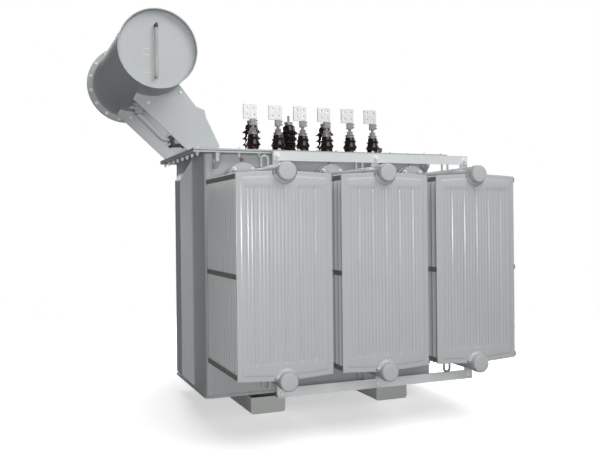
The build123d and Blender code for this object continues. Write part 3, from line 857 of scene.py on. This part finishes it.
class TRANSFORMER_OT_radiator_headers(bpy.types.Operator):
    """Turn the headers with their caps and flanges, and add the lugs and bent bars"""

    bl_idname = "transformer.radiator_headers"
    bl_label = "Radiator headers"

    def execute(self, context):
        sizes = context.scene.transformer_sizes
        low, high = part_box("front_middle_radiator_headers")
        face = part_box("front_middle_radiator_fins")[0].y
        reach = high.y - low.y
        sheet = high.y - face
        pipe, cap, flange = sizes.header_radius, sizes.cap_radius, sizes.flange_radius
        thick = sizes.flange_thickness
        profile = [
            (flange - 0.0015, 0), (flange, 0.0015), (flange, thick - 0.0015), (flange - 0.0015, thick),
            (pipe + 0.012, thick), (pipe + 0.005, thick + 0.004), (pipe, thick + 0.012),
            (pipe, sheet - 0.008), (cap + 0.001, sheet - 0.006), (cap + 0.001, sheet), (cap, reach - 0.010),
            (cap - 0.0012, reach - 0.0055), (cap - 0.0042, reach - 0.0018), (cap - 0.009, reach - 0.0003),
            (cap - 0.014, reach),
        ]
        upper, lower = sizes.upper_header, sizes.lower_header
        parts = [seat(turned("header", profile, 48), (0, high.y, z), "-Y") for z in (upper, lower)]
        parts.append(self.tie_lug("front_upper_tie_bar", upper))
        parts.append(self.tie_lug("front_lower_tie_bar", lower))
        bar_depth = face + 0.315
        parts.append(self.bent_bar(sizes, upper, bar_depth, 1))
        parts.append(self.bent_bar(sizes, lower, bar_depth, -1))
        headers = joined("radiator_headers", parts)
        to_radiators(headers, "headers", "header_enamel", "radiator_headers")
        below_upper, above_lower = -0.008, 0.014
        bosses = joined("radiator_bosses", [
            self.boss("upper_boss", face, upper, below_upper),
            self.boss("lower_boss", face, lower, above_lower),
        ])
        to_radiators(bosses, "bosses", "radiator_enamel", "radiator_headers", stands_in=False)
        return {"FINISHED"}

    def tie_lug(self, bar, header):
        """The lug that holds a tie bar to a header."""
        half, thick, inset, bevel = 0.025, 0.008, 0.014, 0.0015
        low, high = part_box(bar)
        back = low.y + 0.005
        bottom, top = sorted((header, high.z - inset if high.z > header else low.z + inset))
        return block("tie_lug", (-half, back, bottom), (half, back + thick, top), bevel)

    def boss(self, name, face, header, edge):
        """The pressed boss round a header, on the panel's side of the panel's edge alone."""
        piece = turned(name, [
            (0.068, -0.004), (0.067, 0.0), (0.062, 0.0055), (0.056, 0.0095), (0.051, 0.011), (0.046, 0.011),
        ], 48)
        seat(piece, (0, face + 0.002, header), "-Y")
        open_mesh(piece)
        bpy.ops.mesh.bisect(
            plane_co=(0, face, header + edge), plane_no=(0, 0, -edge), clear_outer=True, use_fill=True
        )
        leave_edit()
        return piece

    def bent_bar(self, sizes, header, depth, sense):
        """A bar bent to an eye over a header, or under it where the sense is -1."""
        bend, bar = 0.0195, 0.0065
        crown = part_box("front_middle_radiator_headers")[1].z - sizes.upper_header
        spring = header + sense * (crown - bend - bar)
        eye = started(
            bpy.ops.mesh.primitive_torus_add, "bent_bar", major_radius=bend, minor_radius=bar,
            major_segments=28, minor_segments=10, location=(0, depth, spring), rotation=(quarter_turn, 0, 0),
        )
        open_mesh(eye)
        bpy.ops.mesh.bisect(plane_co=(0, depth, spring), plane_no=(0, 0, -sense), clear_outer=True)
        pick_rim()
        leg = crown - bend - bar - sizes.header_radius * 0.85
        bpy.ops.mesh.extrude_edges_move(TRANSFORM_OT_translate={"value": (0, 0, -sense * leg)})
        face_out()
        leave_edit()
        return eye


class TRANSFORMER_OT_valves(bpy.types.Operator):
    """Turn the shut-off valves and bolt their flanges"""

    bl_idname = "transformer.valves"
    bl_label = "Radiator valves"

    def execute(self, context):
        sizes = context.scene.transformer_sizes
        for row, side in rows.items():
            low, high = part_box(f"{row}_radiator_valves")
            tank_face, outer_face = (high.y, low.y) if side < 0 else (low.y, high.y)
            levels = (sizes.lower_header, sizes.upper_header)
            places = [(x, tank_face, z) for x in radiator_middles(row) for z in levels]
            self.bodies(row, places, high.y - low.y, (low.y + high.y) / 2)
            flange = side * sizes.flange_thickness
            ring = diagonals(sizes.flange_bolt_circle)
            spots = [(x + right, z + up) for x, y, z in places for right, up in ring]
            heads = [(x, outer_face + flange, z) for x, z in spots]
            nuts = [(x, tank_face - flange, z) for x, z in spots]
            fixings(
                f"{row}_valve_bolts",
                bolts("valve_heads", sizes.bolt_across, heads, outward[row]),
                bolts("valve_nuts", sizes.bolt_across, nuts, inward[row], stub=0.006),
            )
        return {"FINISHED"}

    def bodies(self, row, places, depth, middle):
        """Valve bodies of a row with their necks and spindles."""
        radius = 0.078
        waist = radius - 0.006
        body = turned("valve_body", [
            (waist, 0), (waist, 0.006), (radius, 0.009), (radius, depth - 0.009), (waist, depth - 0.006),
            (waist, depth),
        ], 40)
        seat(body, places[0], outward[row])
        neck = turned("valve_neck", [
            (0.017, -0.02), (0.017, 0.012), (0.014, 0.014), (0.014, 0.020), (0.0085, 0.022), (0.0085, 0.026),
        ], 20)
        seat(neck, (places[0][0], middle, places[0][2] + radius))
        valves = repeat(joined(f"{row}_valve_bodies", [body, neck]), places)
        done(valves, "valve_iron", "valve_metal", f"{row}_radiator_valves")
        spindle = turned(f"{row}_valve_spindles", [
            (0.0065, 0), (0.0065, 0.014), (0.011, 0.015), (0.011, 0.022), (0.008, 0.024),
        ], 6)
        neck_top = radius + 0.024
        tops = [(x, middle, z + neck_top) for x, y, z in places]
        done(repeat(seat(spindle, tops[0]), tops), "brass", "brass_fitting")


class TRANSFORMER_OT_cover_bolts(bpy.types.Operator):
    """Bolt the cover to the rim"""

    bl_idname = "transformer.cover_bolts"
    bl_label = "Cover bolts"

    def execute(self, context):
        sizes = context.scene.transformer_sizes
        low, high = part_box("tank_cover")
        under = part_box("tank_rim")[0].z
        inset = sizes.cover_bolt_inset
        x0, x1, y0, y1 = low.x + inset, high.x - inset, low.y + inset, high.y - inset
        along, across = sizes.cover_bolts_long, sizes.cover_bolts_short
        spots = []
        for k in range(along):
            x = x0 + (x1 - x0) * k / (along - 1)
            spots += [(x, y0), (x, y1)]
        for k in range(1, across - 1):
            y = y0 + (y1 - y0) * k / (across - 1)
            spots += [(x0, y), (x1, y)]
        head, nut = sizes.bolt_across * 0.75, sizes.bolt_across * 0.9
        fixings(
            "cover_bolts",
            bolts("cover_heads", head, [(x, y, high.z) for x, y in spots], "+Z"),
            bolts("cover_nuts", nut, [(x, y, under) for x, y in spots], "-Z", stub=0.008),
        )
        return {"FINISHED"}


class TRANSFORMER_OT_tank_welds(bpy.types.Operator):
    """Lay the weld beads of the tank"""

    bl_idname = "transformer.tank_welds"
    bl_label = "Tank welds"

    def execute(self, context):
        sizes = context.scene.transformer_sizes
        radius = sizes.weld_radius
        low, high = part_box("tank_shell")
        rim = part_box("tank_rim")[0].z
        corner, sunk, clear = 0.03, radius * 0.3, 0.01
        beads = []
        for z in (low.z + sunk, rim - sunk):
            for y in (low.y, high.y):
                beads.append(bead("seam", (low.x + corner, y, z), (high.x - corner, y, z), radius))
            for x in (low.x, high.x):
                beads.append(bead("seam", (x, low.y + corner, z), (x, high.y - corner, z), radius))
        for hand, x in (("left", low.x), ("right", high.x)):
            rib_low, rib_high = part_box(f"{hand}_end_stiffener")
            for y in (rib_low.y, rib_high.y):
                beads.append(bead("seam", (x, y, rib_low.z + clear), (x, y, rib_high.z - clear), radius))
        done(joined("tank_welds", beads), "tank_enamel", "tank_paint")
        return {"FINISHED"}


class TRANSFORMER_OT_tie_bar_bolts(bpy.types.Operator):
    """Bolt the tie bars to the headers' lugs"""

    bl_idname = "transformer.tie_bar_bolts"
    bl_label = "Tie bar bolts"

    def execute(self, context):
        sizes = context.scene.transformer_sizes
        for row, side in rows.items():
            places = []
            for level in ("upper", "lower"):
                low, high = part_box(f"{row}_{level}_tie_bar")
                face = low.y if side < 0 else high.y
                places += [(x, face, (low.z + high.z) / 2) for x in radiator_middles(row)]
            piece = bolts(f"{row}_tie_bolts", sizes.bolt_across, places, outward[row])
            done(piece, "zinc_plate", "valve_metal")
        return {"FINISHED"}


class TRANSFORMER_OT_drum_details(bpy.types.Operator):
    """Bolt the drum's end cover, lay its welds and mark the oil levels"""

    bl_idname = "transformer.drum_details"
    bl_label = "Conservator details"

    def execute(self, context):
        sizes = context.scene.transformer_sizes
        low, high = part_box("conservator_shell")
        middle = (low + high) / 2
        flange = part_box("conservator_end_flange")[0].y
        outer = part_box("conservator_end_cover")[1].y
        turns = [2 * half_turn * (k + 0.5) / sizes.drum_bolts for k in range(sizes.drum_bolts)]
        circle = sizes.drum_bolt_circle
        ring = [(middle.x + circle * math.cos(a), middle.z + circle * math.sin(a)) for a in turns]
        across = sizes.small_bolt_across
        fixings(
            "drum_bolts",
            bolts("drum_heads", across, [(x, flange, z) for x, z in ring], "-Y"),
            bolts("drum_nuts", across, [(x, outer, z) for x, z in ring], "+Y", stub=0.006),
        )
        radius = (high.z - low.z) / 2
        weld = turned("drum_weld", [
            (radius - 0.002, 0), (radius + 0.006, 0), (radius + 0.003, 0.005), (radius - 0.002, 0.008),
        ], 72)
        seat(weld, (middle.x, flange, middle.z), "-Y")
        plate_low, plate_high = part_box("conservator_front_plate")
        face = plate_low.y
        inside = (plate_high.z - plate_low.z) / 2 - 0.001
        rim = started(
            bpy.ops.mesh.primitive_torus_add, "plate_weld", major_radius=inside, minor_radius=0.005,
            major_segments=72, minor_segments=8, location=(middle.x, face, middle.z),
            rotation=(quarter_turn, 0, 0),
        )
        done(joined("drum_welds", [weld, rim]), "tank_enamel", "tank_paint")
        left, right, half, proud, bevel = -1.169, -1.125, 0.003, 0.001, 0.0004
        marks = [
            block("level_mark", (left, face - proud, z - half), (right, face + proud, z + half), bevel)
            for z in (2.139, 2.105, 2.005)
        ]
        done(joined("level_marks", marks), "level_mark", "tank_paint")
        return {"FINISHED"}


class TRANSFORMER_OT_oil_gauge(bpy.types.Operator):
    """Turn the two cocks that hold the gauge glass"""

    bl_idname = "transformer.oil_gauge"
    bl_label = "Oil gauge"

    def execute(self, context):
        glass_low, glass_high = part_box("oil_gauge_glass")
        middle = (glass_low + glass_high) / 2
        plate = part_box("oil_gauge_fittings")[1].y
        reach = plate - middle.y
        cock_rise = 0.013
        ends = (
            ("oil_gauge_top", glass_high.z, 1, "dark_iron", "dark_casting"),
            ("oil_gauge_bottom", glass_low.z, -1, "valve_iron", "valve_metal"),
        )
        for name, edge, sense, finish, slot in ends:
            gland = turned("gauge_gland", [
                (0.0095, -0.003), (0.0115, 0.0), (0.0115, 0.007), (0.0085, 0.009), (0.0085, 0.018),
                (0.006, 0.021), (0.006, 0.0245), (0.004, 0.026),
            ], 6)
            seat(gland, (middle.x, middle.y, edge), "+Z" if sense > 0 else "-Z")
            neck = turned("gauge_neck", [
                (0.010, 0), (0.010, 0.003), (0.0065, 0.004), (0.0065, reach), (0.0085, reach + 0.005),
                (0.0085, reach + 0.013), (0.006, reach + 0.016),
            ], 16)
            seat(neck, (middle.x, plate, edge + sense * cock_rise), "-Y")
            replaced = ("oil_gauge_fittings",) if sense > 0 else ()
            done(joined(name, [gland, neck]), finish, slot, *replaced)
        return {"FINISHED"}


class TRANSFORMER_OT_gas_relay(bpy.types.Operator):
    """Build the gas relay with its flanges, windows and cap"""

    bl_idname = "transformer.gas_relay"
    bl_label = "Gas relay"

    def execute(self, context):
        low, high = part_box("gas_relay")
        radius = (high.y - low.y) / 2
        axis = low.z + radius + 0.002
        x = (low.x + high.x) / 2
        half, tall, thick = 0.038, 0.044, 0.010
        body = block(
            "relay_body", (low.x + thick, -half, axis - tall), (high.x - thick, half, axis + tall), 0.008
        )
        open_mesh(body)
        pick("FACE", lambda f: abs(f.normal.y) > 0.9)
        bpy.ops.mesh.inset(thickness=0.012, depth=0.0)
        bpy.ops.mesh.inset(thickness=0.002, depth=-0.005)
        leave_edit()
        parts = [body]
        for edge, facing in ((low.x, "+X"), (high.x, "-X")):
            ring = turned("relay_flange", [
                (radius - 0.002, 0), (radius, 0.0015), (radius, thick - 0.0015), (radius - 0.002, thick),
                (0.034, thick), (0.030, thick + 0.008),
            ], 40)
            parts.append(seat(ring, (edge, 0, axis), facing))
        lid = turned("relay_lid", [
            (0.034, -0.004), (0.034, 0.006), (0.026, 0.008), (0.026, 0.014), (0.023, 0.018), (0.008, 0.020),
            (0.008, 0.026), (0.005, 0.028),
        ], 32)
        parts.append(seat(lid, (x, 0, axis + tall)))
        done(joined("relay_casting", parts), "relay_paint", "dark_casting", "gas_relay")
        wide, rise, pane, bevel = 0.020, 0.026, 0.006, 0.002
        bottom, top = axis - rise, axis + rise
        windows = [
            block("relay_window", (x - wide, back, bottom), (x + wide, back + pane, top), bevel)
            for back in (-half, half - pane)
        ]
        done(joined("relay_windows", windows), "sight_glass", "gauge_glass")
        spots = diagonals(0.042)
        fixings(
            "relay_bolts",
            bolts("relay_heads", 0.012, [(low.x, y, axis + z) for y, z in spots], "-X", stub=0.003),
            bolts("relay_nuts", 0.012, [(high.x, y, axis + z) for y, z in spots], "+X", stub=0.003),
        )
        return {"FINISHED"}


class TRANSFORMER_OT_oil_valve(bpy.types.Operator):
    """Turn the valve under the drum, with its lever, and bolt the pipe's foot"""

    bl_idname = "transformer.oil_valve"
    bl_label = "Oil pipe valve"

    def execute(self, context):
        low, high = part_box("oil_pipe")
        pipe_radius = 0.015
        x = low.x + pipe_radius
        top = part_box("conservator_shell")[0].z
        axis = top - 0.031
        body = turned("oil_valve_body", [
            (0.030, -0.062), (0.032, -0.060), (0.032, -0.054), (0.022, -0.052), (0.025, -0.040),
            (0.026, -0.031), (0.025, -0.022), (0.022, -0.010), (0.032, -0.008), (0.032, 0.002),
            (0.030, 0.004),
        ], 28)
        seat(body, (x, 0, top))
        stem = turned("oil_valve_stem", [
            (0.012, 0.020), (0.012, 0.034), (0.015, 0.035), (0.015, 0.041), (0.006, 0.042), (0.006, 0.052),
            (0.009, 0.053), (0.009, 0.060), (0.006, 0.062),
        ], 16)
        seat(stem, (x, 0, axis), "-Y")
        half, front, back = 0.008, -0.058, -0.052
        tip, heel = x - 0.062, x + 0.014
        lever = block("oil_valve_lever", (tip, front, axis - half), (heel, back, axis + half), 0.003)
        open_mesh(lever)
        pick("FACE", lambda f: f.normal.x < -0.9)
        bpy.ops.transform.resize(value=(1, 1, 0.7), center_override=(x, (front + back) / 2, axis))
        leave_edit()
        done(joined("oil_valve", [body, stem, lever]), "valve_iron", "valve_metal")
        foot_thickness, foot_half, foot_circle = 0.012, 0.044, 0.034
        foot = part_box("tank_cover")[1].z + foot_thickness
        down = high.x - foot_half
        spots = [(down + right, up, foot) for right, up in diagonals(foot_circle)]
        done(bolts("pipe_foot_bolts", 0.013, spots, "+Z", stub=0.003), "zinc_plate", "valve_metal")
        return {"FINISHED"}


class TRANSFORMER_OT_bracket_bolts(bpy.types.Operator):
    """Bolt the drum's brackets"""

    bl_idname = "transformer.bracket_bolts"
    bl_label = "Bracket bolts"

    def execute(self, context):
        sizes = context.scene.transformer_sizes
        spots = [(-1.095, 1.870), (-0.904, 1.939)]
        across = sizes.small_bolt_across * 0.8
        parts = []
        for end in ("front", "rear"):
            low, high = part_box(f"{end}_conservator_bracket")
            parts.append(bolts("bracket_heads", across, [(x, low.y, z) for x, z in spots], "-Y"))
            parts.append(bolts("bracket_nuts", across, [(x, high.y, z) for x, z in spots], "+Y", stub=0.006))
        fixings("bracket_bolts", *parts)
        return {"FINISHED"}


class TRANSFORMER_OT_low_voltage_bushings(bpy.types.Operator):
    """Turn the low-voltage porcelain"""

    bl_idname = "transformer.low_voltage_bushings"
    bl_label = "Low-voltage bushings"

    def execute(self, context):
        skirt, tall, feet = bushings("lv_insulators", low_voltage_count)
        profile = [
            (skirt - 0.001, 0), (skirt, 0.002), (skirt, 0.013), (skirt - 0.002, 0.017), (0.040, 0.024),
            (0.0385, 0.030), (0.0385, 0.040), (0.040, 0.044), (skirt - 0.001, 0.052), (skirt, 0.055),
            (skirt - 0.0015, 0.059), (0.040, 0.068), (0.0375, 0.074), (0.0365, 0.084), (0.038, 0.087),
            (0.0415, 0.090), (0.0415, 0.093), (0.037, 0.097), (0.0345, 0.102), (0.034, tall - 0.004),
            (0.032, tall - 0.001), (0.029, tall),
        ]
        porcelain = repeat(seat(turned("lv_porcelain", profile, 40), feet[0]), feet)
        done(porcelain, "porcelain_glaze", "brown_porcelain", "lv_insulators")
        return {"FINISHED"}


class TRANSFORMER_OT_low_voltage_fixings(bpy.types.Operator):
    """Nuts, washers and clamp bolts of the low-voltage terminals"""

    bl_idname = "transformer.low_voltage_fixings"
    bl_label = "Low-voltage fixings"

    def execute(self, context):
        feet = bushings("lv_insulators", low_voltage_count)[2]
        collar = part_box("lv_insulators")[1].z + 0.012
        clamp = collar + 0.046
        washer = turned("stem_washer", [(0.030, 0), (0.031, 0.001), (0.031, 0.004), (0.030, 0.005)], 28)
        nut = turned("stem_nut", [(0.019, 0.005), (0.0205, 0.007), (0.0205, 0.017), (0.019, 0.019)], 6)
        lock = turned("stem_lock", [(0.019, 0.0195), (0.0205, 0.021), (0.0205, 0.027), (0.019, 0.0285)], 6)
        stack = joined("lv_stem_nuts", [washer, nut, lock])
        tops = [(x, y, collar) for x, y, z in feet]
        repeat(seat(stack, tops[0]), tops)
        # Stem nuts and clamp bolts take the darkened stem metal: painted shade.
        done(stack, "shaded_stem_metal", "terminal_metal")
        side = 0.017
        offsets = [(depth, rise) for depth in (-0.008, 0.008) for rise in (0.011, 0.029)]
        spots = [(x + side, y + depth, clamp + rise) for x, y, z in feet for depth, rise in offsets]
        done(bolts("lv_clamp_bolts", 0.012, spots, "+X", stub=0.004), "shaded_stem_metal", "terminal_metal")
        return {"FINISHED"}


class TRANSFORMER_OT_high_voltage_bushings(bpy.types.Operator):
    """Turn the high-voltage porcelain with its rounded sheds"""

    bl_idname = "transformer.high_voltage_bushings"
    bl_label = "High-voltage bushings"

    def execute(self, context):
        shed, tall, feet = bushings("hv_insulators", high_voltage_count)
        body, top, base, sheds = 0.046, 0.032, 0.034, 4
        profile = [
            (shed - 0.001, 0), (shed, 0.002), (shed, 0.014), (shed - 0.003, 0.018), (body + 0.004, 0.026),
        ]
        step = (tall - base) / (sheds + 1)
        for k in range(sheds):
            foot = base + (k + 0.5) * step
            profile += [
                (body, foot - 0.010), (body + 0.002, foot - 0.002), (shed - 0.003, foot + 0.003),
                (shed, foot + 0.006), (shed - 0.002, foot + 0.010), (body + 0.010, foot + 0.018),
                (body + 0.001, foot + 0.026),
            ]
        profile += [(body - 0.002, tall - 0.012), (top + 0.006, tall - 0.004), (top, tall)]
        porcelain = repeat(seat(turned("hv_porcelain", profile, 40), feet[0]), feet)
        done(porcelain, "porcelain_glaze", "brown_porcelain", "hv_insulators")
        return {"FINISHED"}


class TRANSFORMER_OT_stage(bpy.types.Operator):
    """Lay the floor, hang the lamps and set up the camera"""

    bl_idname = "transformer.stage"
    bl_label = "Stage"

    def execute(self, context):
        scene = context.scene
        stage = scene.transformer_stage
        floor_size, below = 60, 0.001
        floor = started(bpy.ops.mesh.primitive_plane_add, "floor", size=floor_size, location=(0, 0, -below))
        floor.data.materials.append(self.floor_finish(stage))
        self.sky(scene, stage)
        target = Vector((0, -0.3, 1.1))
        lamps = (
            ("overhead_lamp", (1.2, -4.4, 5.2), 4.5, stage.overhead_power),
            ("front_lamp", (-3.6, -9.2, 1.2), 2.2, stage.front_power),
            ("camera_lamp", stage.camera_place + Vector((0.06, 0, -0.08)), 0.12, stage.camera_power),
            ("right_lamp", (5.5, 0.5, 3.2), 3.0, stage.right_power),
            ("left_lamp", (-6.0, 1.5, 2.5), 3.0, stage.left_power),
            ("rear_lamp", (0.5, 5.5, 4.0), 4.0, stage.rear_power),
        )
        for name, place, size, power in lamps:
            lamp = bpy.data.lights.new(name, "AREA")
            lamp.energy, lamp.size = power, size
            holder = bpy.data.objects.new(name, lamp)
            holder.location = place
            holder.rotation_euler = (target - Vector(place)).to_track_quat("-Z", "Y").to_euler()
            scene.collection.objects.link(holder)
            holder.visible_glossy = name != "front_lamp"
        self.camera(scene, stage)
        scene.view_settings.view_transform = "Standard"
        return {"FINISHED"}

    def seen(self, nodes):
        """1 for what the camera sees directly or through glass, a small share for what shows in a gloss."""
        gloss_share = 0.10
        direct, gloss, through = (
            nodes.node("ShaderNodeLightPath", output=f"Is {kind} Ray")
            for kind in ("Camera", "Glossy", "Transmission")
        )
        return nodes.node("ShaderNodeClamp", {}, {"Value": direct + gloss_share * gloss + through}, "Result")

    def floor_finish(self, stage):
        """Pale where it is seen, darker where it only throws light back, and clear far from the object."""
        fade_from, fade_to, thrown_back = 2.2, 5.0, 0.12
        finish = Finish("floor_finish")
        grain = finish.noise(3.0, 4.0)
        pale = finish.blend(grain, opaque(stage.floor, 0.99), opaque(stage.floor, 1.01))
        shade = finish.blend(self.seen(finish), opaque(stage.floor, thrown_back), pale)
        reach = finish.node("ShaderNodeVectorMath", {"operation": "LENGTH"}, {0: finish.place}, "Value")
        fade = 1 - finish.ramp(reach, fade_from, fade_to)
        glow = finish.blend(self.seen(finish), (0, 0, 0, 1), (0.5, 0.5, 0.5, 1))
        finish.set(Base_Color=shade, Roughness=0.9, Specular_IOR_Level=0.0, Alpha=fade)
        finish.set(Emission_Color=glow, Emission_Strength=1.0)
        return finish.material

    def sky(self, scene, stage):
        """Even light, and a white background where it is seen."""
        world = bpy.data.worlds.new("daylight")
        world.use_nodes = True
        nodes = Nodes(world.node_tree)
        strength = stage.daylight + (1 - stage.daylight) * self.seen(nodes)
        white = {"Color": (1, 1, 1, 1), "Strength": strength}
        background = nodes.node("ShaderNodeBackground", {}, white)
        output = nodes.tree.nodes.new("ShaderNodeOutputWorld")
        nodes.fill(output.inputs["Surface"], background)
        scene.world = world

    def camera(self, scene, stage):
        """The camera at the photograph's viewpoint."""
        yaw, pitch, roll = stage.camera_yaw, stage.camera_pitch, stage.camera_roll
        level = math.cos(pitch)
        ahead = Vector((math.sin(yaw) * level, math.cos(yaw) * level, math.sin(pitch)))
        right = Vector((math.cos(yaw), -math.sin(yaw), 0))
        up = right.cross(ahead)
        rolled_right = math.cos(roll) * right + math.sin(roll) * up
        rolled_up = math.cos(roll) * up - math.sin(roll) * right
        lens = bpy.data.cameras.new("camera")
        lens.sensor_width, lens.sensor_fit, lens.lens = 36.0, "HORIZONTAL", stage.focal_length
        lens.clip_end = 200.0
        holder = bpy.data.objects.new("camera", lens)
        holder.rotation_euler = Matrix((rolled_right, rolled_up, -ahead)).transposed().to_euler()
        holder.location = stage.camera_place
        scene.collection.objects.link(holder)
        scene.camera = holder


steps = (
    TRANSFORMER_OT_stage,
    TRANSFORMER_OT_finishes,
    TRANSFORMER_OT_radiator_panels,
    TRANSFORMER_OT_radiator_headers,
    TRANSFORMER_OT_valves,
    TRANSFORMER_OT_tie_bar_bolts,
    TRANSFORMER_OT_cover_bolts,
    TRANSFORMER_OT_tank_welds,
    TRANSFORMER_OT_drum_details,
    TRANSFORMER_OT_oil_gauge,
    TRANSFORMER_OT_gas_relay,
    TRANSFORMER_OT_oil_valve,
    TRANSFORMER_OT_bracket_bolts,
    TRANSFORMER_OT_low_voltage_bushings,
    TRANSFORMER_OT_low_voltage_fixings,
    TRANSFORMER_OT_high_voltage_bushings,
)


class TRANSFORMER_PT_sidebar(bpy.types.Panel):
    """The transformer's pieces, sizes and colours"""

    bl_idname = "TRANSFORMER_PT_sidebar"
    bl_label = "Power transformer"
    bl_space_type = "VIEW_3D"
    bl_region_type = "UI"
    bl_category = "Transformer"

    def draw(self, context):
        for step in steps:
            self.layout.operator(step.bl_idname)
        for group in ("transformer_sizes", "transformer_colours", "transformer_stage"):
            values = getattr(context.scene, group)
            for name in values.__annotations__:
                self.layout.prop(values, name)


groups = {
    "transformer_sizes": TransformerSizes,
    "transformer_colours": TransformerColours,
    "transformer_stage": TransformerStage,
}
classes = (*groups.values(), *steps, TRANSFORMER_PT_sidebar)


def register():
    for item in classes:
        bpy.utils.register_class(item)
    for name, group in groups.items():
        setattr(bpy.types.Scene, name, PointerProperty(type=group))


def unregister():
    for name in groups:
        delattr(bpy.types.Scene, name)
    for item in reversed(classes):
        bpy.utils.unregister_class(item)


def main():
    """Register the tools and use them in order."""
    register()
    for step in steps:
        getattr(bpy.ops.transformer, step.bl_idname.split(".")[1])()
    leave_edit()


if __name__ == "__main__":
    main()
